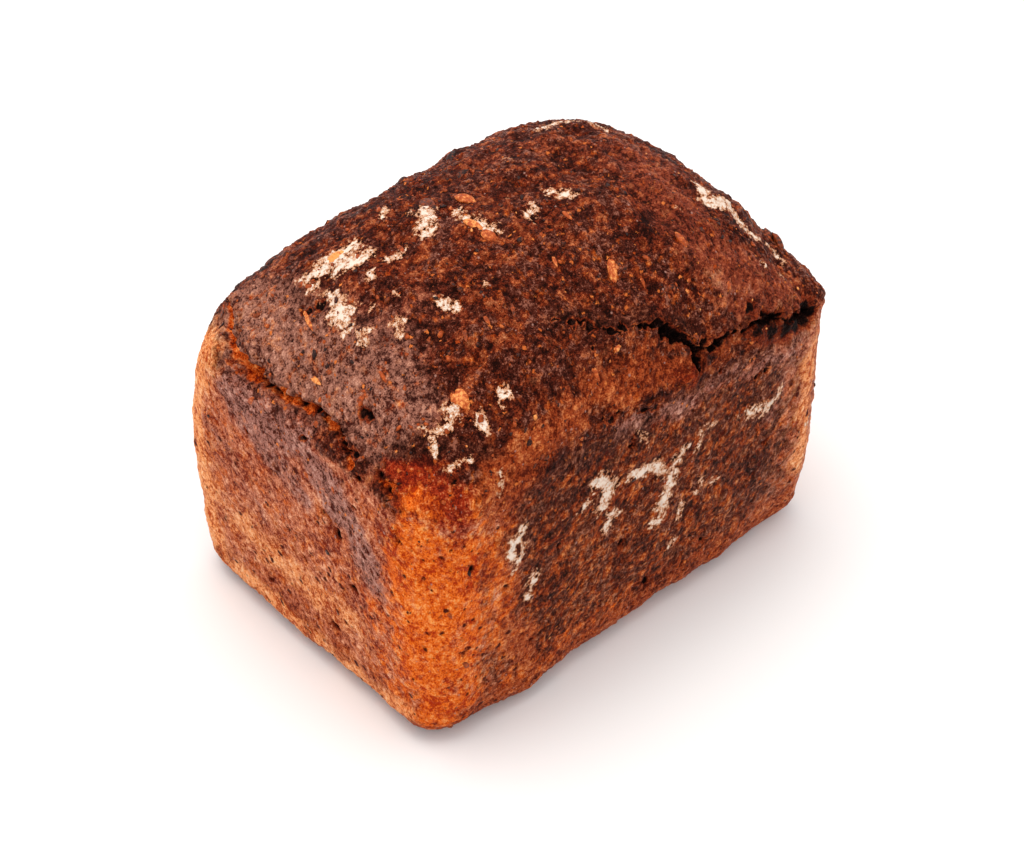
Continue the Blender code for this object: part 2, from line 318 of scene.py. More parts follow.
# The cracks, where the risen crust tore away from the tin-baked walls. Each is a ragged groove
# of orange torn crumb, or charred black, and its upper lip stands out over the wall.
# Each point of a route is the pixel seen, or on a hidden side a place in mm, and the half-width.
CRUMB_CRACKS = [
    [(-64, 57, 96, 2.0), (227, 320, 2.4), (230, 340, 3.2), (235, 355, 3.6), (248, 370, 3.3),
     (263, 384, 2.7), (282, 395, 2.4), (301, 405, 2.4), (319, 412, 2.2), (332, 428, 2.2),
     (345, 443, 1.8), (351, 469, 1.7), (360, 487, 1.0)],
    [(375, 469, 1.4), (384, 491, 1.8), (390, 508, 1.7), (393, 521, 1.4), (395, 545, 1.2),
     (397, 560, 0.8)],
    [(85, 44, 88, 1.4), (82, 26, 94, 3.6), (80, 4, 97, 2.6), (83, -16, 92, 3.6), (85, -34, 87, 1.2)],
    [(58, 58, 91, 1.4), (33, 57, 97, 3.2), (6, 57, 96, 2.2), (-14, 58, 91, 3.4), (-34, 57, 95, 2.2),
     (-52, 58, 90, 1.2)],
]
CHARRED_CRACKS = [
    [(558, 319, 0.6), (580, 324, 1.1), (604, 329, 1.2), (630, 326, 1.0), (656, 324, 1.3),
     (675, 335, 2.0), (698, 350, 2.4), (698, 377, 1.2)],
    [(700, 350, 1.5), (713, 347, 1.5), (725, 338, 1.3), (738, 331, 0.9), (751, 324, 1.7),
     (770, 317, 2.1), (790, 316, 1.3), (808, 316, 2.8)],
    [(606, 419, 0.8), (625, 413, 1.0), (640, 410, 1.0), (667, 405, 0.7)],
]
CRACK_SWAYS = ((5 * MM, 2.4 * MM), (1.9 * MM, 1.8 * MM))
CRACK_REACH, CRACK_ROUNDNESS = 11 * MM, 0.6
CRACK_DEPTH, DEPTH_BY_WIDTH = 0.7 * MM, 0.9
CRUMB_ROUGHNESS, CRUMB_GRAIN = 1.1 * MM, 1.7 * MM
LIP_HEIGHT, LIP_REACH, LIP_SAG = 1.2 * MM, 3.0 * MM, 0.6 * MM
LIP_START, LIP_FULL, FULL_LIP_WIDTH = -0.5 * MM, 1.5 * MM, 2 * MM
SHADE_START, SHADE_FULL = 0.1, 0.9


def route_of(route):
    """A crack's route: the places on the loaf in metres, and the half-widths there."""
    places = []
    for *place, half_width in route:
        on_loaf = seen(*place) if len(place) == 2 else Vector(place) * MM
        places.append((on_loaf, half_width * MM))
    return places


def nearest_on_route(point, route):
    """How far a point is from a route, and the half-width and the height of the route there."""
    best = (1e9, 0.0, 0.0)
    for (start, start_width), (end, end_width) in zip(route, route[1:]):
        step = end - start
        share = max(0.0, min(1.0, (point - start).dot(step) / step.length_squared))
        place = start + step * share
        distance = (point - place).length
        if distance < best[0]:
            best = (distance, blend(start_width, end_width, share), place.z)
    return best


def is_near(point, route, reach):
    """Whether a point lies in the box round a route."""
    for axis in range(3):
        values = [place[axis] for place, _ in route]
        if not min(values) - reach < point[axis] < max(values) + reach:
            return False
    return True


def crack_move(point, normal, route):
    """How a crack moves a point, how deep in the crack the point is, and how much in its shade."""
    if not is_near(point, route, CRACK_REACH):
        return Vector(), 0.0, 0.0
    bent = point.copy()
    for size, reach in CRACK_SWAYS:
        bent += noise.noise_vector(point / size) * reach
    distance, width, height = nearest_on_route(bent, route)
    groove = max(0.0, 1 - (distance / width) ** 2) ** CRACK_ROUNDNESS
    depth = groove * (CRACK_DEPTH + DEPTH_BY_WIDTH * width)
    depth += groove * noise.noise(point / CRUMB_GRAIN) * CRUMB_ROUGHNESS
    is_above = smooth_step(LIP_START, LIP_FULL, point.z - height)
    strength = min(1.0, width / FULL_LIP_WIDTH)
    lip = is_above * math.exp(-((max(0.0, distance - width) / LIP_REACH) ** 2)) * (1 - groove)
    move = normal * (lip * LIP_HEIGHT * strength - depth)
    move.z -= lip * strength * LIP_SAG
    shade = groove * smooth_step(SHADE_START, SHADE_FULL, (bent.z - height) / width)
    return move, groove, shade


# Holes and pits: pixel seen, then reach and depth in mm, and how far the hole is painted black,
# as char and as painted shade in the pit
HOLES = [
    (664, 331, 1.9, 3.0, 1.0), (675, 339, 1.7, 3.0, 1.0), (702, 342, 2.0, 4.0, 1.0),
    (697, 356, 1.7, 5.0, 1.0), (697, 365, 1.7, 4.0, 1.0), (719, 343, 1.8, 3.0, 1.0),
    (728, 336, 1.4, 2.0, 1.0), (763, 319, 2.2, 3.5, 1.0), (751, 324, 1.6, 3.0, 1.0),
    (776, 317, 1.5, 3.0, 1.0), (808, 311, 3.3, 5.5, 1.4), (810, 320, 3.0, 5.5, 1.4),
    (645, 325, 1.3, 2.0, 0.8), (590, 325, 1.4, 1.5, 0.9), (572, 322, 1.2, 1.2, 0.8),
    (612, 418, 1.2, 1.6, 0.8), (655, 408, 1.2, 1.6, 0.8), (634, 440, 1.0, 2.0, 0.9),
    (631, 448, 0.9, 1.8, 0.8), (764, 443, 0.9, 1.8, 0.8), (757, 452, 0.8, 1.5, 0.7),
    (320, 513, 1.7, 1.6, 0.4), (327, 523, 1.7, 2.0, 0.5), (334, 535, 1.5, 3.0, 1.0),
    (351, 591, 1.5, 2.6, 0.9), (332, 627, 1.5, 2.4, 0.8), (645, 582, 1.6, 2.6, 1.0),
    (362, 414, 2.0, 2.4, 0.8), (803, 294, 0.8, 1.2, 0.9), (592, 351, 0.8, 1.2, 0.9),
    (526, 293, 0.8, 1.5, 1.0), (445, 305, 1.2, 1.2, 0.8), (318, 304, 1.6, 1.6, 0.9),
    (304, 310, 1.3, 1.4, 0.9), (458, 166, 1.1, 1.6, 1.0), (452, 480, 1.3, 1.4, 0.7),
    (470, 570, 1.1, 1.6, 0.9), (440, 560, 0.9, 1.2, 0.4), (505, 590, 1.2, 1.6, 0.7),
    (420, 582, 1.0, 1.2, 0.3), (463, 655, 1.2, 1.6, 0.5), (560, 545, 1.0, 1.6, 0.9),
    (620, 545, 1.2, 1.8, 0.9), (700, 540, 1.1, 1.6, 0.8), (740, 505, 1.1, 1.8, 0.8),
    (722, 372, 1.2, 2.0, 0.9), (764, 371, 1.1, 1.6, 0.9), (755, 377, 1.0, 1.4, 0.8),
    (375, 475, 1.2, 2.0, 0.9), (383, 492, 1.3, 2.4, 0.9), (391, 512, 1.2, 2.2, 0.8),
    (352, 455, 1.4, 2.0, 0.9), (310, 408, 1.3, 2.0, 0.9), (262, 384, 1.5, 2.2, 0.9),
    (229, 362, 1.2, 1.6, 0.6), (396, 545, 1.0, 1.4, 0.7), (357, 478, 1.1, 1.8, 0.9),
    (284, 392, 1.2, 1.6, 0.8), (296, 399, 1.5, 2.0, 0.9), (320, 411, 1.2, 1.6, 0.8),
    (335, 431, 1.4, 2.0, 1.0), (344, 446, 1.4, 2.0, 1.0), (236, 372, 1.2, 1.2, 0.5),
    (243, 361, 1.3, 1.6, 0.7), (256, 377, 1.3, 1.6, 0.8), (272, 389, 1.2, 1.6, 0.7),
    (270, 470, 1.0, 1.2, 0.6), (246, 430, 1.1, 1.2, 0.6), (286, 532, 1.0, 1.4, 0.8),
    (240, 500, 1.0, 1.2, 0.6), (302, 560, 1.0, 1.4, 0.7), (270, 580, 0.9, 1.2, 0.6),
    (300, 440, 1.1, 1.4, 0.8), (352, 510, 1.1, 1.6, 0.8), (380, 610, 1.0, 1.4, 0.7),
    (345, 650, 0.9, 1.2, 0.6), (530, 640, 1.0, 1.4, 0.7), (590, 590, 0.9, 1.4, 0.8),
    (680, 565, 0.9, 1.4, 0.8), (780, 470, 0.9, 1.4, 0.7), (640, 500, 0.9, 1.2, 0.8),
    (816, 313, 2.4, 4.0, 1.5), (809, 315, 3.2, 2.0, 1.8), (758, 329, 4.4, 0.8, 0.50),
    (772, 332, 4.2, 0.8, 0.55), (786, 330, 4.2, 0.8, 0.55), (748, 309, 2.0, 1.5, 0.8),
    (724, 336, 1.6, 1.5, 1.2), (798, 326, 3.4, 1.0, 0.7),
]

# Lumps and hollows of the form: place in mm, then reach and height, below zero for a hollow
LUMPS = [
    ((86, 14, 58), 2.6 * MM, -2.4 * MM),
    ((86, -22, 34), 2.2 * MM, -2.2 * MM),
    ((-22, 59, 52), 2.4 * MM, -2.4 * MM),
    ((38, 59, 24), 2.2 * MM, -2.2 * MM),
    ((78, -53, 90), 5.0 * MM, 1.6 * MM),
    ((-66, 51, 103), 6.0 * MM, 1.2 * MM),
    ((-80, 55, 91), 8.0 * MM, -2.0 * MM),
    ((-9, 41, 120), 5.0 * MM, 1.2 * MM),
    ((11, 44, 121), 6.0 * MM, 1.2 * MM),
    ((-84, 46, 62), 26.0 * MM, 1.6 * MM),
    ((-46, -56, 5), 13.0 * MM, 2.2 * MM),
    ((64, -56, 8), 14.0 * MM, -2.4 * MM),
    ((86, -46, 60), 24.0 * MM, -1.6 * MM),
    ((-45, -57, 97), 10.0 * MM, 1.5 * MM),
    ((14, -57, 94), 7.0 * MM, 1.5 * MM),
    ((80, 50, 92), 7.0 * MM, 1.8 * MM),
]

# The crust's unevenness: the size of its bumps, and their height on the dome and on a wall. The
# small bumps are drawn out along one direction, the one in which the rising dough dragged.
BROAD_BUMP, BROAD_HEIGHTS = 26 * MM, (1.1 * MM, 0.5 * MM)
SMALL_BUMP, SMALL_HEIGHTS = 9 * MM, (1.5 * MM, 0.7 * MM)
CRUMB_BUMP, CRUMB_HEIGHTS = 2.9 * MM, (0.95 * MM, 0.60 * MM)
GRAIN_BUMP, GRAIN_HEIGHTS = 1.8 * MM, (0.75 * MM, 0.35 * MM)
GRAIN_RUN = Vector((0.49, 0.71, 0.50)).normalized()
GRAIN_STRETCH = 0.42
CRUMB_OCTAVES, CRUMB_MEAN, GRAIN_MEAN = 3, 0.45, 0.42
SMALL_BUMP_SHIFT = Vector((5, 9, 2))
RELIEF_MEAN, RELIEF_BY_LUMPS, RELIEF_BY_GRAINS = 0.5, 0.5, 0.7
WALL_START, WALL_FULL = RIM_HEIGHT + 8 * MM, RIM_HEIGHT - 6 * MM


def unevenness(point, on_wall):
    """How far the crust stands out at a point, and its fine relief from 0 in hollows to 1."""
    drawn_out = point - GRAIN_RUN * (point.dot(GRAIN_RUN) * GRAIN_STRETCH)
    lumps = noise.turbulence(drawn_out / CRUMB_BUMP, CRUMB_OCTAVES, True) - CRUMB_MEAN
    grains = GRAIN_MEAN - noise.voronoi(point / GRAIN_BUMP)[0][0]
    height = noise.noise(point / BROAD_BUMP) * blend(*BROAD_HEIGHTS, on_wall)
    height += noise.noise(point / SMALL_BUMP + SMALL_BUMP_SHIFT) * blend(*SMALL_HEIGHTS, on_wall)
    height += lumps * blend(*CRUMB_HEIGHTS, on_wall) + grains * blend(*GRAIN_HEIGHTS, on_wall)
    return height, RELIEF_MEAN + RELIEF_BY_LUMPS * lumps + RELIEF_BY_GRAINS * grains


crumb_routes = [route_of(route) for route in CRUMB_CRACKS]
charred_routes = [route_of(route) for route in CHARRED_CRACKS]
values = {key: np.zeros(len(points)) for key in ("relief", "crumb", "char_and_pit_shade", "shade")}
heights = np.zeros(len(points))
for px, py, reach, depth, char_and_shade in HOLES:
    squares = ((ragged - np.array(seen(px, py))) ** 2).sum(axis=1) / (reach * MM) ** 2
    heights -= depth * MM * np.exp(-squares)
    # Painted black in each hole: char, and painted shade in the pit
    values["char_and_pit_shade"] = np.maximum(values["char_and_pit_shade"], char_and_shade * np.exp(-squares))
for place, reach, rise in LUMPS:
    squares = ((points - np.array(place) * MM) ** 2).sum(axis=1) / reach**2
    heights += rise * np.exp(-squares)
moves = []
for index, vertex in enumerate(crust.verts):
    point = vertex.co
    normal = vertex.normal
    on_wall = smooth_step(WALL_START, WALL_FULL, point.z)
    height, values["relief"][index] = unevenness(point, on_wall)
    move = normal * (height + heights[index])
    for key, routes in (("crumb", crumb_routes), ("char_and_pit_shade", charred_routes)):
        for route in routes:
            step, groove, shade = crack_move(point, normal, route)
            move += step
            values[key][index] = max(values[key][index], groove)
            values["shade"][index] = max(values["shade"][index], shade)
    moves.append(move * smooth_step(0, FOOT_ROUNDING / 2, point.z))
for vertex, move in zip(crust.verts, moves):
    vertex.co += move

# The loaf stands where the solid stands: its box has the same middle
box_low = Vector(map(min, zip(*[vertex.co for vertex in crust.verts])))
box_high = Vector(map(max, zip(*[vertex.co for vertex in crust.verts])))
shift = (cad_low + cad_high - box_low - box_high) / 2
shift.z = 0
bmesh.ops.translate(crust, verts=crust.verts, vec=shift)
crust.normal_update()
surface = BVHTree.FromBMesh(crust)

# The zones of the bake and of painted sheen. How hot each part of the crust got shows as near
# black, rust or pale orange; the rosy bloom is partly the crust's own colour and partly painted
# sheen. Each stroke is its reach in mm, its strength and the pixels it passes.
ZONES = {
    "bloom_and_sheen": [
        (11, 1.0, [(232, 318), (262, 348), (300, 372), (345, 400), (380, 425)]),
        (11, 0.9, [(258, 300), (300, 325), (345, 352), (385, 385)]),
        (9, 0.4, [(400, 365), (415, 420)]),
        (8, 0.3, [(430, 300), (400, 340)]),
        (7, 0.3, [(725, 290), (760, 300)]),
    ],
    "streak": [
        (7, 0.9, [(222, 385), (262, 422), (300, 452), (330, 492), (352, 540), (372, 575)]),
        (5, 0.8, [(300, 440), (345, 520), (378, 590)]),
        (5, 0.7, [(235, 410), (270, 455), (305, 500)]),
        (5, 0.5, [(210, 420), (240, 470), (262, 520)]),
        (6, 0.5, [(712, 378), (752, 362), (800, 345)]),
        (5, 0.6, [(620, 430), (650, 420), (690, 400)]),
        (5, 0.5, [(790, 375), (765, 420)]),
    ],
    "orange": [
        (8, 1.0, [(415, 545), (425, 580), (430, 630), (433, 690), (438, 718)]),
        (6, 0.8, [(395, 545), (400, 600), (408, 660)]),
        (6, 0.8, [(455, 560), (465, 620), (470, 690)]),
        (5, 0.6, [(420, 500), (412, 530)]),
        (8, 0.45, [(492, 540), (494, 590), (498, 640)]),
        (8, 0.45, [(374, 610), (382, 650), (394, 690)]),
        (4, 0.3, [(500, 680), (540, 655), (600, 615), (650, 585)]),
        (4, 0.6, [(468, 500), (474, 560)]),
    ],
    "rust": [
        (7, 0.9, [(408, 482), (440, 505), (452, 535)]),
        (5, 0.6, [(395, 470), (430, 470)]),
        (5, 0.5, [(690, 352), (684, 372)]),
    ],
    "spring": [
        (7, 1.0, [(492, 486), (520, 458), (560, 430), (600, 402), (650, 378), (684, 364)]),
        (6, 0.5, [(470, 520), (490, 490)]),
        (7, 0.8, [(502, 500), (496, 560), (503, 620), (520, 660)]),
        (4, 0.35, [(480, 690), (540, 655), (600, 615), (700, 555), (790, 495)]),
        (5, 0.5, [(560, 395), (610, 372), (640, 350)]),
        (4, 0.6, [(716, 352), (740, 338), (790, 330)]),
    ],
    "pale": [
        (8, 1.0, [(200, 345), (197, 400), (200, 470), (208, 530)]),
        (5, 0.8, [(222, 565), (290, 630), (350, 680), (402, 714)]),
        (9, 0.5, [(235, 520), (290, 570), (345, 620)]),
        (5, 0.7, [(812, 345), (806, 400), (800, 460)]),
    ],
    "reddish": [
        (14, 0.9, [(640, 165), (700, 240), (765, 285)]),
        (9, 0.6, [(740, 315), (790, 300)]),
        (8, 0.4, [(480, 160), (560, 145)]),
    ],
    "dark": [
        (6, 0.8, [(405, 440), (440, 450), (480, 455)]),
        (5, 0.8, [(550, 318), (600, 326), (650, 318), (690, 330)]),
        (8, 0.4, [(500, 400), (560, 360), (620, 340)]),
        (6, 0.7, [(560, 470), (600, 450), (640, 436)]),
        (6, 0.6, [(505, 545), (545, 510), (590, 480)]),
        (5, 0.6, [(735, 330), (790, 318)]),
        (5, 0.5, [(640, 470), (690, 430), (740, 400)]),
        (5, 0.4, [(600, 530), (650, 510), (700, 470)]),
        (5, 0.5, [(300, 300), (330, 305)]),
        (5, 0.6, [(445, 175), (470, 185)]),
    ],
}

# Flour that was dusted on the tin and the dough: reach in mm, strength and the pixels it passes
FLOUR = [
    (3.12, 1.1, [(324, 266), (336, 258), (350, 248)]), (2.64, 1.1, [(338, 270), (352, 262)]),
    (1.92, 1.0, [(357, 263), (368, 253)]), (1.80, 1.0, [(385, 259), (397, 252)]),
    (1.32, 0.9, [(399, 248), (402, 246)]), (2.04, 1.0, [(303, 281), (312, 274), (319, 270)]),
    (1.56, 0.8, [(307, 290), (311, 286)]), (1.44, 0.9, [(369, 272), (371, 279)]),
    (1.92, 0.9, [(320, 293), (330, 296), (338, 300)]), (1.44, 0.8, [(334, 303), (338, 309)]),
    (2.04, 1.0, [(330, 318), (340, 315), (351, 310)]), (1.92, 1.0, [(342, 312), (345, 324)]),
    (1.56, 0.9, [(336, 325), (339, 321)]), (1.44, 0.9, [(341, 331), (345, 335)]),
    (1.20, 0.9, [(369, 311), (371, 308)]), (1.32, 0.9, [(357, 331), (360, 333)]),
    (1.44, 0.9, [(365, 335), (368, 333)]), (1.68, 0.9, [(393, 326), (402, 319)]),
    (1.20, 0.9, [(393, 333), (397, 334)]), (1.44, 0.9, [(362, 345), (365, 346)]),
    (1.08, 0.8, [(395, 296), (397, 295)]), (2.64, 1.0, [(425, 208), (424, 226)]),
    (1.80, 0.9, [(430, 230), (420, 234)]), (1.44, 0.9, [(409, 212)]),
    (1.68, 0.8, [(382, 222), (385, 211)]), (2.16, 0.9, [(457, 213)]),
    (2.40, 1.0, [(464, 221), (478, 227), (489, 229)]), (2.16, 0.9, [(441, 301), (451, 305)]),
    (1.44, 0.9, [(484, 284)]), (1.20, 0.9, [(503, 195)]), (2.04, 1.1, [(447, 409), (452, 414)]),
    (1.20, 0.9, [(434, 431), (438, 427)]), (1.44, 1.0, [(441, 429), (448, 428)]),
    (1.08, 0.9, [(420, 430), (424, 432)]), (1.20, 1.0, [(429, 441), (433, 448), (436, 457)]),
    (1.32, 1.0, [(477, 411), (476, 418)]), (1.56, 1.1, [(480, 426), (483, 430)]),
    (1.80, 1.0, [(499, 391), (505, 395)]), (1.08, 0.9, [(498, 402), (500, 407)]),
    (1.20, 0.9, [(450, 468), (458, 465), (466, 461)]), (1.08, 0.9, [(501, 472), (500, 496)]),
    (2.64, 0.9, [(541, 129), (552, 122), (580, 121), (602, 128)]),
    (2.04, 0.9, [(548, 192), (570, 197)]), (1.92, 0.9, [(530, 206), (530, 218)]),
    (1.44, 0.7, [(676, 208)]), (2.40, 1.0, [(697, 184), (708, 202), (724, 206)]),
    (2.28, 1.0, [(726, 207), (740, 224), (754, 236)]), (1.80, 0.9, [(768, 243), (781, 259)]),
    (1.56, 0.8, [(763, 264)]), (1.44, 0.9, [(783, 274)]), (1.44, 0.6, [(506, 160)]),
    (2.88, 1.0, [(597, 480), (610, 487), (599, 506)]), (1.80, 0.7, [(588, 500), (580, 510)]),
    (2.40, 1.0, [(630, 477), (646, 470)]), (2.28, 0.9, [(654, 466), (660, 472)]),
    (3.24, 1.0, [(672, 474), (667, 488), (662, 504)]), (1.92, 0.8, [(650, 524), (659, 519)]),
    (2.16, 0.9, [(683, 450), (675, 460)]), (1.56, 0.8, [(694, 449), (698, 442)]),
    (1.68, 0.8, [(677, 517), (681, 503)]), (1.44, 0.7, [(700, 478), (694, 492)]),
    (1.80, 0.8, [(606, 514), (616, 516)]), (1.32, 0.8, [(607, 523), (606, 530)]),
    (1.44, 0.7, [(716, 480), (708, 484)]), (2.28, 0.9, [(748, 414), (760, 408)]),
    (1.80, 0.9, [(764, 412), (771, 402)]), (1.44, 0.8, [(780, 388), (776, 396)]),
    (1.92, 0.8, [(675, 540), (666, 550)]), (1.68, 0.8, [(612, 514), (607, 528)]),
    (2.16, 1.0, [(520, 530), (512, 545), (509, 556)]), (1.80, 0.8, [(522, 548), (515, 562)]),
    (2.04, 0.9, [(537, 572), (530, 586), (526, 598)]), (1.44, 0.8, [(514, 569), (510, 575)]),
    (1.92, 0.5, [(640, 434), (648, 441)]), (2.16, 0.4, [(700, 432), (714, 424)]),
    (1.20, 0.9, [(806, 424), (814, 424)]), (1.44, 0.6, [(735, 420)]), (1.44, 0.6, [(560, 520)]),
]

# The hidden walls wear the zones and the flour of the shown walls, turned round. Three more
# values follow the form: how far a place is on a wall, on a long wall's middle, and low down.
HALF_TURN = np.array((-1, -1, 1))
FULLY_AWAY = 0.3
WALL_TOP, WALL_FADE = RIM_HEIGHT + 4 * MM, 8 * MM
FACE_START, FACE_FADE = RIM_WIDTH / 2 - 10 * MM, 8 * MM
LONG_WALL_END, LONG_WALL_FADE = RIM_LENGTH / 2 - 4 * MM, 38 * MM
LOW_TOP, LOW_FADE = 34 * MM, 30 * MM

turned_away = np.array([vertex.normal.dot(away) for vertex in crust.verts])
turned_away = np.clip(turned_away / FULLY_AWAY, 0, 1)
for key, strokes in (*ZONES.items(), ("flour", FLOUR)):
    measured = ragged if key == "flour" else wavering
    shown = marked(measured, strokes)
    turned = marked(measured * HALF_TURN, strokes)
    values[key] = np.maximum(turned * turned_away, shown)
values["wall"] = np.clip((WALL_TOP - points[:, 2]) / WALL_FADE, 0, 1)
facing = np.clip((np.abs(wavering[:, 1]) - FACE_START) / FACE_FADE, 0, 1)
inward = np.clip((LONG_WALL_END - np.abs(wavering[:, 0])) / LONG_WALL_FADE, 0, 1)
values["shaded_long_wall"] = facing * inward * values["wall"]
values["low"] = np.clip((LOW_TOP - points[:, 2]) / LOW_FADE, 0, 1)

# The crust's material. Rye dough browns to near black where it is hot and stays orange where it
# tore late, so the eye sees a rough, almost matt skin of many browns with pale broken grains.
# Each pattern has the real size of what it stands for. The finest, really 0.2 to 0.3 mm wide,
# is drawn at 0.5 mm, the least that shows.
COARSE, PATCH, DRIFT = 13 * MM, 4.5 * MM, 2.8 * MM
MOTTLE, FIBRE, SPECK = 1.9 * MM, 0.95 * MM, 0.5 * MM
DOME_PULL, WALL_PULL = 0.5, 1.0
TONE_LEVEL, PAINTED_SHADE_BY_RELIEF = -1.53, 0.45
MIDDLE_TONES, LIGHT_TONES = (0.26, 0.53), (0.54, 0.84)

rye_crust, tree, crust_shader = new_material("rye_crust")
place = add_node(tree, "ShaderNodeTexCoord", {}, out="Object")
wall = add_node(tree, "ShaderNodeAttribute", {}, out="Fac", attribute_name="wall")
relief = add_node(tree, "ShaderNodeAttribute", {}, out="Fac", attribute_name="relief")
along = add_node(tree, "ShaderNodeVectorMath", {0: place, 1: GRAIN_RUN * -GRAIN_STRETCH},
                 out="Value", operation="DOT_PRODUCT")
pulled = add_node(tree, "ShaderNodeMapRange", {
    "Value": wall, "To Min": DOME_PULL, "To Max": WALL_PULL})
along = add_node(tree, "ShaderNodeMath", {0: along, 1: pulled}, operation="MULTIPLY")
pull = add_node(tree, "ShaderNodeVectorMath", {0: GRAIN_RUN, "Scale": along}, operation="SCALE")
drawn_out = add_node(tree, "ShaderNodeVectorMath", {0: place, 1: pull}, operation="ADD")
coarse, patch, drift, mottle, fibre, speck = [
    add_node(tree, "ShaderNodeTexNoise", {
        "Vector": vector, "Scale": 1 / size, "Detail": detail, "Roughness": roughness})
    for vector, size, detail, roughness in (
        (place, COARSE, 3, 0.6), (place, PATCH, 5, 0.6), (drawn_out, DRIFT, 4, 0.65),
        (place, MOTTLE, 4, 0.7), (drawn_out, FIBRE, 3, 0.7), (place, SPECK, 3, 0.7),
    )
]

# The tone is the sum of all grains and of the relief, whose share is painted shade and highlight:
# low in hollows and gaps, high where a grain stands out
tone = add_node(tree, "ShaderNodeMath", {
    0: relief, 1: PAINTED_SHADE_BY_RELIEF, 2: TONE_LEVEL}, operation="MULTIPLY_ADD")
for grain, share in ((coarse, 0.6), (mottle, 1.0), (fibre, 0.9), (speck, 1.15)):
    tone = add_node(tree, "ShaderNodeMath", {0: grain, 1: share, 2: tone}, operation="MULTIPLY_ADD")
middle_share, light_share = [
    add_node(tree, "ShaderNodeMapRange", {
        "Value": tone, "From Min": low, "From Max": high}, interpolation_type="SMOOTHSTEP")
    for low, high in (MIDDLE_TONES, LIGHT_TONES)
]


def three_tones(dark, middle, light):
    """A colour that goes by the tone from dark gaps, partly painted shade, over a middle brown to
    light grains.
    """
    lower = add_node(tree, "ShaderNodeMix", {
        0: middle_share, 6: linear(dark), 7: linear(middle)}, out=2, data_type="RGBA")
    return add_node(tree, "ShaderNodeMix", {
        0: light_share, 6: lower, 7: linear(light)}, out=2, data_type="RGBA")


def cover(below, key, tones, raggedness, softness, level=0.5, grain=patch):
    """The colour below with a zone's tones laid over it, as far as the ragged zone reaches."""
    strength = add_node(tree, "ShaderNodeAttribute", {}, out="Fac", attribute_name=key)
    raised = add_node(tree, "ShaderNodeMath", {
        0: grain, 1: raggedness, 2: strength}, operation="MULTIPLY_ADD")
    middle = level + raggedness / 2
    amount = add_node(tree, "ShaderNodeMapRange", {
        "Value": raised, "From Min": middle - softness, "From Max": middle + softness},
        interpolation_type="SMOOTHSTEP")
    return add_node(tree, "ShaderNodeMix", {
        0: amount, 6: below, 7: three_tones(*tones)}, out=2, data_type="RGBA")


# The colours, dark to light, most of them baked, the bloom's and the walls' partly painted light
# and shade: the dome's first, then each zone's over it, with how ragged and how soft its edge is,
# how strong the zone must be to show, and the grain that breaks it up
BROWN_TONES, RUSTY_TONES = ("190705", "46190f", "8f5644"), ("360c05", "7a2a12", "c4662f")
RUSTY_LOW, RUSTY_HIGH = 0.46, 0.62
ZONE_TONES = [
    ("reddish", ("34100a", "7c3320", "b05c36"), 1.4, 0.30, 0.5, patch),
    # Bloom: the crust's own rosy grey with painted sheen in it, in two layers
    ("bloom_and_sheen", ("3c1812", "95604f", "c89078"), 1.8, 0.40, 0.55, patch),
    ("bloom_and_sheen", ("5a2416", "a05c3e", "d28e62"), 2.2, 0.25, 1.15, drift),
    # Walls: the crust's own colours, with painted light in the end walls' light tones and painted
    # shade in the long walls' dark tones
    ("wall", ("6c2011", "be6c4c", "f0ae86"), 1.4, 0.20, 0.5, patch),
    ("wall", ("74200a", "c05c2c", "e8985c"), 2.0, 0.20, 1.05, drift),
    ("shaded_long_wall", ("1a0704", "54200f", "a06044"), 2.2, 0.35, 0.45, patch),
    ("shaded_long_wall", ("521808", "963c14", "d88646"), 2.4, 0.20, 1.05, drift),
    ("low", ("4c1408", "a2441e", "d07a44"), 1.6, 0.30, 0.55, drift),
    ("streak", ("451a10", "a0685a", "d09c8a"), 1.4, 0.25, 0.5, drift),
    ("spring", ("54180a", "9a401e", "d27a42"), 1.8, 0.30, 0.5, patch),
    ("pale", ("ac4012", "f09a5c", "ffcc9a"), 1.2, 0.35, 0.4, patch),
    ("rust", ("5a130b", "962b10", "d07a48"), 1.4, 0.30, 0.5, patch),
    ("orange", ("a8300b", "e46818", "f8a050"), 2.2, 0.40, 0.5, drift),
    ("dark", ("180805", "431b12", "854a34"), 1.8, 0.35, 0.6, patch),
]

rust_share = add_node(tree, "ShaderNodeMapRange", {
    "Value": patch, "From Min": RUSTY_LOW, "From Max": RUSTY_HIGH},
    interpolation_type="SMOOTHSTEP")
colour = add_node(tree, "ShaderNodeMix", {
    0: rust_share, 6: three_tones(*BROWN_TONES), 7: three_tones(*RUSTY_TONES)},
    out=2, data_type="RGBA")
for key, tones, raggedness, softness, level, grain in ZONE_TONES:
    colour = cover(colour, key, tones, raggedness, softness, level, grain)

# Rosy grey and orange grains lie mixed on the tin-baked walls
ROSY_GRAIN, ROSY_LOW, ROSY_HIGH, ROSY_SHARE = "9a6458", 0.50, 0.64, 0.16

grain_hue = add_node(tree, "ShaderNodeMapRange", {
    "Value": fibre, "From Min": ROSY_LOW, "From Max": ROSY_HIGH, "To Max": ROSY_SHARE})
grain_hue = add_node(tree, "ShaderNodeMath", {0: grain_hue, 1: wall}, operation="MULTIPLY")
colour = add_node(tree, "ShaderNodeMix", {
    0: grain_hue, 6: colour, 7: linear(ROSY_GRAIN)}, out=2, data_type="RGBA")


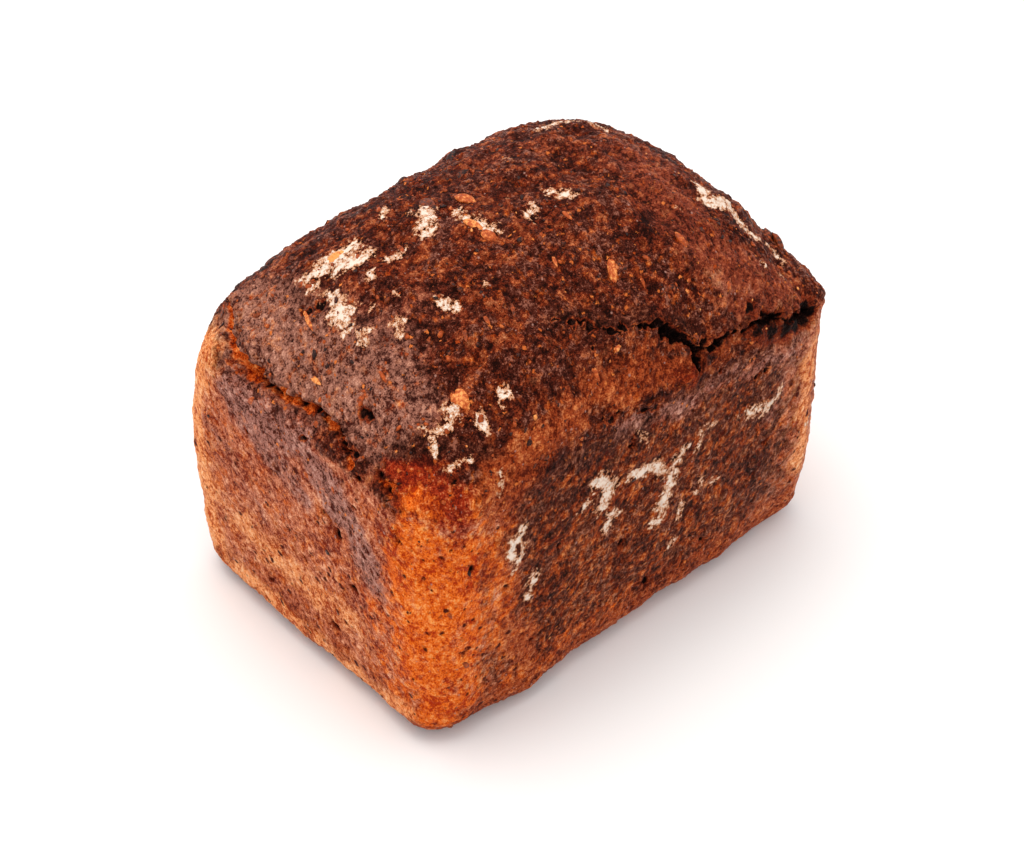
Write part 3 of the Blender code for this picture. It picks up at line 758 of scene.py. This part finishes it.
def scattered(vector, spacing, emptiness, largest):
    """Spots, one in each cell but the empty ones: how far inside one a point is, and its tones."""
    cells = add_node(tree, "ShaderNodeTexVoronoi", {"Vector": vector, "Scale": 1 / spacing}).node
    tones = add_node(tree, "ShaderNodeSeparateColor", {"Color": cells.outputs["Color"]}).node
    size = add_node(tree, "ShaderNodeMapRange", {
        "Value": tones.outputs[0], "From Min": emptiness, "To Max": largest})
    inside = add_node(tree, "ShaderNodeMath", {
        0: size, 1: cells.outputs["Distance"]}, operation="SUBTRACT")
    return inside, tones.outputs[1]


# Granules of bran and cracked grain, their outlines bent by the finer grain
GRANULE_SPACING, GRANULE_SWAY, GRANULE_RIM = 1.9 * MM, 2.2 * MM, 0.16
GRANULE_DARK, GRANULE_LIGHT = "9c3a14", "e4803e"

bent = add_node(tree, "ShaderNodeVectorMath", {
    0: fibre.node.outputs["Color"], 1: (GRANULE_SWAY,) * 3, 2: place}, operation="MULTIPLY_ADD")
inside, granule_tone = scattered(bent, GRANULE_SPACING, 0.66, 0.42)
granule = add_node(tree, "ShaderNodeMapRange", {
    "Value": inside, "From Max": GRANULE_RIM}, interpolation_type="SMOOTHSTEP")
granule_colour = add_node(tree, "ShaderNodeMix", {
    0: granule_tone, 6: linear(GRANULE_DARK), 7: linear(GRANULE_LIGHT)}, out=2, data_type="RGBA")
colour = add_node(tree, "ShaderNodeMix", {
    0: granule, 6: colour, 7: granule_colour}, out=2, data_type="RGBA")

# Glints: rosy grey highlights painted on the backs of small ridges, drawn out with the grain; the
# spots are also a little shiny
GLINT_SPACING, GLINT_RIM, GLINT_SHARE, PAINTED_GLINT_COLOUR = 1.7 * MM, 0.14, 0.75, "a87a6c"

inside, _ = scattered(drawn_out, GLINT_SPACING, 0.72, 0.28)
painted_glint = add_node(tree, "ShaderNodeMapRange", {
    "Value": inside, "From Max": GLINT_RIM, "To Max": GLINT_SHARE},
    interpolation_type="SMOOTHSTEP")
# Painted highlight: the glints' rosy grey laid over the colour
colour = add_node(tree, "ShaderNodeMix", {
    0: painted_glint, 6: colour, 7: linear(PAINTED_GLINT_COLOUR)}, out=2, data_type="RGBA")

# Pores: small holes of the walls, drawn out with the grain and ragged, their dark red painted shade
PORE_SPACING, PORE_RAGGEDNESS, PORE_SHADE_COLOUR = 2.8 * MM, 1.1, "4a1409"
PORE_LOW, PORE_HIGH = 0.56, 0.72

inside, _ = scattered(drawn_out, PORE_SPACING, 0.3, 0.36)
inside = add_node(tree, "ShaderNodeMath", {
    0: mottle, 1: PORE_RAGGEDNESS, 2: inside}, operation="MULTIPLY_ADD")
pore = add_node(tree, "ShaderNodeMapRange", {
    "Value": inside, "From Min": PORE_LOW, "From Max": PORE_HIGH},
    interpolation_type="SMOOTHSTEP")
pore = add_node(tree, "ShaderNodeMath", {0: pore, 1: wall}, operation="MULTIPLY")
# Painted shade in the pores
colour = add_node(tree, "ShaderNodeMix", {
    0: pore, 6: colour, 7: linear(PORE_SHADE_COLOUR)}, out=2, data_type="RGBA")

# Inside the cracks: orange torn crumb, rusty rims, charred black holes darkened further by painted
# shade in their pits, and the lip's shade
TORN_TONES, SHADE_TONES = ("6a1404", "d45618", "f8a055"), ("080302", "200805", "5a1c0c")
CHAR_AND_SHADE_RAGGEDNESS = 0.7
CHAR_AND_SHADE_LAYERS = (
    (0.44, 0.58, ("4a1509", "84321a", "c0642f")),
    (0.60, 0.82, ("050202", "120605", "3a1810")),
)

colour = cover(colour, "crumb", TORN_TONES, 0.5, 0.2)
char_and_pit_shade = add_node(tree, "ShaderNodeAttribute", {}, out="Fac", attribute_name="char_and_pit_shade")
char_and_pit_shade = add_node(tree, "ShaderNodeMath", {
    0: mottle, 1: CHAR_AND_SHADE_RAGGEDNESS, 2: char_and_pit_shade}, operation="MULTIPLY_ADD")
for low, high, tones in CHAR_AND_SHADE_LAYERS:
    amount = add_node(tree, "ShaderNodeMapRange", {
        "Value": char_and_pit_shade, "From Min": low, "From Max": high}, interpolation_type="SMOOTHSTEP")
    colour = add_node(tree, "ShaderNodeMix", {
        0: amount, 6: colour, 7: three_tones(*tones)}, out=2, data_type="RGBA")
colour = cover(colour, "shade", SHADE_TONES, 0.8, 0.15)

# Flour: ragged creamy islands with holes, thin and buff at their rims. Its own grains thin it
# out; each has a share, and a level that is the least of it that still holds flour.
DUST_LOW, DUST_HIGH, FLOUR_STRENGTH = 0.06, 0.25, 1.1
FLOUR_GRAINS = ((mottle, 3.2, -1.70), (speck, 0.9, -0.47), (fibre, 1.6, -0.83))
FLOUR_LAYERS = ((0.28, 0.42, "a5643f"), (0.40, 0.58, "d9a27c"), (0.58, 0.92, "efdac8"))

flour = add_node(tree, "ShaderNodeAttribute", {}, out="Fac", attribute_name="flour")
dusted = add_node(tree, "ShaderNodeMapRange", {
    "Value": flour, "From Min": DUST_LOW, "From Max": DUST_HIGH},
    interpolation_type="SMOOTHSTEP")
flour = add_node(tree, "ShaderNodeMath", {0: flour, 1: FLOUR_STRENGTH}, operation="MULTIPLY")
for grain, share, level in FLOUR_GRAINS:
    rise = add_node(tree, "ShaderNodeMath", {0: grain, 1: share, 2: level},
                    operation="MULTIPLY_ADD")
    flour = add_node(tree, "ShaderNodeMath", {0: flour, 1: rise}, operation="ADD")
for low, high, code in FLOUR_LAYERS:
    amount = add_node(tree, "ShaderNodeMapRange", {
        "Value": flour, "From Min": low, "From Max": high}, interpolation_type="SMOOTHSTEP")
    amount = add_node(tree, "ShaderNodeMath", {0: amount, 1: dusted}, operation="MULTIPLY")
    colour = add_node(tree, "ShaderNodeMix", {
        0: amount, 6: colour, 7: linear(code)}, out=2, data_type="RGBA")

# The finest relief, and the shine: broken grains catch the light, hollows and flour are dull
RELIEF_DEPTH, ROUGHNESS, SHINE_TINT = 0.5 * MM, 0.48, "ffdcc8"
LEAST_SHINE, SHINE_BY_GLINT, SHINE_BY_GRAIN = 0.03, 0.30, 0.12
RELIEF_SHARES = (
    (speck, 0.6), (fibre, 0.8), (mottle, 0.6), (granule, 0.4), (painted_glint, 0.3), (pore, -0.8),
    (amount, 0.15),
)

height = 0.0
for grain, share in RELIEF_SHARES:
    height = add_node(tree, "ShaderNodeMath", {
        0: grain, 1: share, 2: height}, operation="MULTIPLY_ADD")
bump = add_node(tree, "ShaderNodeBump", {
    "Height": height, "Strength": 1.0, "Distance": RELIEF_DEPTH}, out="Normal")
shine = add_node(tree, "ShaderNodeMath", {
    0: painted_glint, 1: SHINE_BY_GLINT, 2: LEAST_SHINE}, operation="MULTIPLY_ADD")
shine = add_node(tree, "ShaderNodeMath", {
    0: light_share, 1: SHINE_BY_GRAIN, 2: shine}, operation="MULTIPLY_ADD")
tree.links.new(colour, crust_shader.inputs["Base Color"])
tree.links.new(bump, crust_shader.inputs["Normal"])
tree.links.new(shine, crust_shader.inputs["Specular IOR Level"])
crust_shader.inputs["Roughness"].default_value = ROUGHNESS
crust_shader.inputs["Specular Tint"].default_value = linear(SHINE_TINT)

# The crust's six sides. Each is cut out of the one form and closed towards the loaf's middle, so
# that it is a solid wedge of bread, and it keeps the whole form's normals, so no joint shows.
# Six pieces give the fine grain of each side a picture of its own when the model is exported.
whole_normal = crust.verts.layers.float_vector.new("whole_normal")
for vertex in crust.verts:
    vertex[whole_normal] = vertex.normal
whole = bpy.data.meshes.new("whole_crust")
crust.to_mesh(whole)
for key, value in values.items():
    whole.attributes.new(key, "FLOAT", "POINT").data.foreach_set("value", value.astype(np.float32))


def show_piece(name, mesh, material):
    """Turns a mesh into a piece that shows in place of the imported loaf."""
    data = bpy.data.meshes.new(name)
    for face in mesh.faces:
        face.smooth = True
    bmesh.ops.recalc_face_normals(mesh, faces=mesh.faces)
    mesh.to_mesh(data)
    mesh.free()
    data.materials.append(material)
    piece = bpy.data.objects.new(name, data)
    scene.collection.objects.link(piece)
    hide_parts("loaf")
    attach(piece, "root")
    return piece


for index, name in enumerate(SIDES):
    wedge = bmesh.new()
    wedge.from_mesh(whole)
    layer = wedge.faces.layers.int["side"]
    others = [face for face in wedge.faces if face[layer] != index]
    bmesh.ops.delete(wedge, geom=others, context="FACES")
    edge_ring = [edge for edge in wedge.edges if edge.is_boundary]
    inner = bmesh.ops.extrude_edge_only(wedge, edges=edge_ring)["geom"]
    inner_points = [part for part in inner if isinstance(part, bmesh.types.BMVert)]
    bmesh.ops.pointmerge(wedge, verts=inner_points, merge_co=LOAF_MIDDLE)
    data = show_piece(f"crust_{name}", wedge, rye_crust).data
    normals = np.empty(len(data.vertices) * 3, dtype=np.float32)
    data.attributes["whole_normal"].data.foreach_get("vector", normals)
    data.normals_split_custom_set_from_vertices(normals.reshape(-1, 3))
    data.attributes.remove(data.attributes["whole_normal"])
bpy.data.meshes.remove(whole)

# The kernels and husks baked into the crust. A kernel is a plump seed with a crease, a husk a
# thin curved flake; each lies in the crust by nearly half, stuck there by the dough. They are
# given by the pixels of both tips, width and thickness in mm, and tint from charred 0 to pale 1.
KERNELS = [
    ((456, 195), (477, 202), 5.2, 2.6, 0.80), ((420, 198), (435, 210), 4.6, 2.2, 0.25),
    ((454, 176), (469, 168), 3.0, 2.6, 0.15), ((482, 232), (500, 240), 4.4, 2.2, 0.75),
    ((452, 389), (469, 410), 5.6, 2.6, 0.95), ((611, 258), (617, 286), 3.2, 2.0, 0.85),
    ((673, 234), (690, 252), 3.6, 2.0, 0.70), ((463, 223), (487, 230), 4.0, 1.6, 0.95),
    ((398, 186), (410, 178), 3.4, 2.4, 0.05), ((446, 154), (455, 150), 3.0, 2.4, 0.05),
    ((257, 272), (268, 262), 4.0, 2.6, 0.05), ((326, 262), (345, 252), 3.4, 1.6, 1.15),
]
HUSKS = [
    ((589, 359), (599, 381), 1.8, 0.8, 0.80), ((461, 320), (468, 345), 1.8, 0.8, 0.45),
    ((300, 309), (312, 330), 1.8, 0.9, 0.85), ((304, 371), (320, 384), 2.0, 0.9, 0.95),
    ((354, 408), (367, 394), 2.8, 1.2, 0.55), ((212, 397), (221, 424), 1.6, 0.7, 0.70),
    ((247, 405), (254, 397), 2.0, 0.9, 0.70), ((302, 472), (309, 481), 1.4, 0.7, 0.85),
    ((329, 486), (335, 495), 2.0, 0.9, 0.50), ((553, 253), (557, 266), 1.4, 0.7, 0.75),
    ((484, 316), (490, 324), 1.6, 0.7, 0.65), ((513, 300), (518, 318), 1.4, 0.7, 0.40),
    ((380, 372), (388, 384), 1.4, 0.7, 0.60), ((640, 275), (646, 288), 1.4, 0.7, 0.60),
    ((560, 215), (572, 222), 1.6, 0.8, 0.70), ((395, 240), (404, 250), 1.6, 0.8, 0.50),
]
HIDDEN_KERNELS, STREWING_SEED = 12, 7
KERNEL_LENGTHS, KERNEL_WIDTHS = (6.5 * MM, 9.0 * MM), (3.6 * MM, 5.0 * MM)
KERNEL_THICKNESS, KERNEL_SINK = 2.4 * MM, 0.12
HIDDEN_TINTS = (0.05, 0.35)
HIDDEN_ALONG, HIDDEN_ACROSS = (-60 * MM, 74 * MM), (50 * MM, 58 * MM)
HIDDEN_HEIGHTS = (RIM_HEIGHT * 0.5, RIM_HEIGHT * 1.2, RIM_HEIGHT * 1.2)
FAR_SHARE, FAR_ALONG, FAR_ACROSS = 0.4, (79 * MM, 85 * MM), (-40 * MM, 40 * MM)
SEED_TAPER, SEED_ARCH, SEED_FINENESS = 0.5, 0.5, 4
CREASE_DEPTH, CREASE_WIDTH = 0.16, 0.09
DENT_DEPTH, DENTS_ALONG, DENT_SHIFT = 0.10, 5, 900

# Toasted seed skin: the eye sees a thin, faintly shiny husk from charred brown to straw, with
# scorched blotches of about a millimetre
BLOTCH, BLOTCH_SHARE, BLOTCH_LEVEL = 1.1 * MM, 1.9, -1.03
TOASTED_TO, STRAW_FROM, STRAW_TO = 0.7, 0.72, 1.05
CHARRED, TOASTED, STRAW = "240c07", "b24c18", "ee9c54"

husk_skin, husk_tree, husk_shader = new_material("grain_husk")
husk_place = add_node(husk_tree, "ShaderNodeTexCoord", {}, out="Object")
blotch = add_node(husk_tree, "ShaderNodeTexNoise", {
    "Vector": husk_place, "Scale": 1 / BLOTCH, "Detail": 4, "Roughness": 0.65})
tint = add_node(husk_tree, "ShaderNodeAttribute", {}, out="Fac", attribute_name="tint")
husk_tone = add_node(husk_tree, "ShaderNodeMath", {
    0: blotch, 1: BLOTCH_SHARE, 2: BLOTCH_LEVEL}, operation="MULTIPLY_ADD")
husk_tone = add_node(husk_tree, "ShaderNodeMath", {0: tint, 1: husk_tone}, operation="ADD")
toasted = add_node(husk_tree, "ShaderNodeMapRange", {"Value": husk_tone, "From Max": TOASTED_TO})
husk_colour = add_node(husk_tree, "ShaderNodeMix", {
    0: toasted, 6: linear(CHARRED), 7: linear(TOASTED)}, out=2, data_type="RGBA")
straw = add_node(husk_tree, "ShaderNodeMapRange", {
    "Value": husk_tone, "From Min": STRAW_FROM, "From Max": STRAW_TO})
husk_colour = add_node(husk_tree, "ShaderNodeMix", {
    0: straw, 6: husk_colour, 7: linear(STRAW)}, out=2, data_type="RGBA")
husk_bump = add_node(husk_tree, "ShaderNodeBump", {
    "Height": blotch, "Strength": 0.8, "Distance": 0.3 * MM}, out="Normal")
husk_tree.links.new(husk_colour, husk_shader.inputs["Base Color"])
husk_tree.links.new(husk_bump, husk_shader.inputs["Normal"])
husk_shader.inputs["Roughness"].default_value = 0.45
husk_shader.inputs["Specular IOR Level"].default_value = 0.2


def add_seed(mesh, tips, width, thickness, shade):
    """Adds a seed or a husk that lies in the crust from tip to tip, and is sunk into it."""
    place, normal, _, _ = surface.find_nearest((tips[0] + tips[1]) / 2)
    along = tips[1] - tips[0]
    length = along.length
    along = (along - normal * along.dot(normal)).normalized()
    turn = Matrix((along, normal.cross(along), normal)).transposed().to_4x4()
    ball = bmesh.ops.create_icosphere(mesh, subdivisions=SEED_FINENESS, radius=0.5)["verts"]
    for vertex in ball:
        spot = vertex.co
        spot.y *= 1 - SEED_TAPER * (spot.x + 0.5) ** 2
        spot.z -= CREASE_DEPTH * math.exp(-((spot.y / CREASE_WIDTH) ** 2)) * (spot.z > 0)
        spot.z -= SEED_ARCH * spot.x**2
        spot *= 1 + DENT_DEPTH * noise.noise(spot * DENTS_ALONG + place * DENT_SHIFT)
        vertex[mesh.verts.layers.float["tint"]] = shade
    size = Matrix.Diagonal((length, width, thickness, 1))
    spot = Matrix.Translation(place - normal * thickness * KERNEL_SINK)
    bmesh.ops.transform(mesh, matrix=spot @ turn @ size, verts=ball)


def hidden_kernel_tips(draw):
    """Tips of a kernel on the back half of the dome, or on the back or far wall."""
    x = draw.uniform(*HIDDEN_ALONG)
    y = draw.uniform(*HIDDEN_ACROSS)
    z = draw.choice(HIDDEN_HEIGHTS)
    if draw.random() < FAR_SHARE:
        x = draw.uniform(*FAR_ALONG)
        y = draw.uniform(*FAR_ACROSS)
    middle = Vector((x, y, z))
    heading = draw.uniform(0, math.pi)
    half = Vector((math.cos(heading), math.sin(heading), 0)) * draw.uniform(*KERNEL_LENGTHS) / 2
    return middle - half, middle + half


for name, seeds in (("kernels", KERNELS), ("husks", HUSKS)):
    mesh = bmesh.new()
    mesh.verts.layers.float.new("tint")
    for start, end, width, thickness, shade in seeds:
        add_seed(mesh, (seen(*start), seen(*end)), width * MM, thickness * MM, shade)
    if name == "kernels":
        draw = random.Random(STREWING_SEED)
        for _ in range(HIDDEN_KERNELS):
            tips = hidden_kernel_tips(draw)
            width, shade = draw.uniform(*KERNEL_WIDTHS), draw.uniform(*HIDDEN_TINTS)
            add_seed(mesh, tips, width, KERNEL_THICKNESS, shade)
    show_piece(name, mesh, husk_skin)

# Crumbs of bran and cracked grain all over the crust, most on the top, a few faces each. Each
# has one colour of its own, from charred over rust to pale.
CRUMB_BATCHES, BATCH = 16, 100
CRUMB_SIZES, CRUMB_SEED = (0.30 * MM, 1.0 * MM), 11
CRUMB_STRETCHES, CRUMB_HEIGHTS_LEFT = (0.9, 1.9), (0.25, 0.5)
CRUMB_TURN, CRUMB_DENT, CRUMB_DENT_SIZE = 0.7, 0.5, 1.1 * MM
SMALLNESS, ON_WALLS = 3, 8
CRUMB_TINTS = (0.05, 0.15, 0.3, 0.45, 0.6, 0.75, 1.0)
CRUMB_WEIGHTS = (4, 6, 8, 6, 4, 2, 0.8)

draw = random.Random(CRUMB_SEED)
crust.faces.ensure_lookup_table()
grain_faces = [face for face in crust.faces if face[side] != SIDES.index("foot")]
dome_faces = [face for face in grain_faces if face.calc_center_median().z > RIM_HEIGHT + 4 * MM]
crumbs = bmesh.new()
for _ in range(CRUMB_BATCHES):
    batch = bmesh.new()
    tint_layer = batch.verts.layers.float.new("tint")
    for index in range(BATCH):
        face = draw.choice(dome_faces if index % ON_WALLS else grain_faces)
        normal = face.normal
        size = blend(*CRUMB_SIZES, draw.uniform(0, 1) ** SMALLNESS)
        stretch = (draw.uniform(*CRUMB_STRETCHES), 1, draw.uniform(*CRUMB_HEIGHTS_LEFT), 1)
        stretch = Matrix.Diagonal(stretch)
        heading = GRAIN_RUN.cross(normal).normalized().cross(normal)
        heading = Matrix.Rotation(draw.gauss(0, CRUMB_TURN), 3, normal) @ heading
        turn = Matrix((heading, normal.cross(heading), normal)).transposed().to_4x4()
        matrix = turn @ Matrix.Scale(size, 4) @ stretch
        matrix = Matrix.Translation(face.calc_center_median()) @ matrix
        lump = bmesh.ops.create_icosphere(batch, subdivisions=1, radius=1, matrix=matrix)["verts"]
        shade = draw.choices(CRUMB_TINTS, CRUMB_WEIGHTS)[0]
        for vertex in lump:
            vertex.co += noise.noise_vector(vertex.co / CRUMB_DENT_SIZE) * size * CRUMB_DENT
            vertex[tint_layer] = shade
    batch_data = bpy.data.meshes.new("crumb_batch")
    batch.to_mesh(batch_data)
    batch.free()
    crumbs.from_mesh(batch_data)
    bpy.data.meshes.remove(batch_data)
show_piece("crumbs", crumbs, husk_skin)
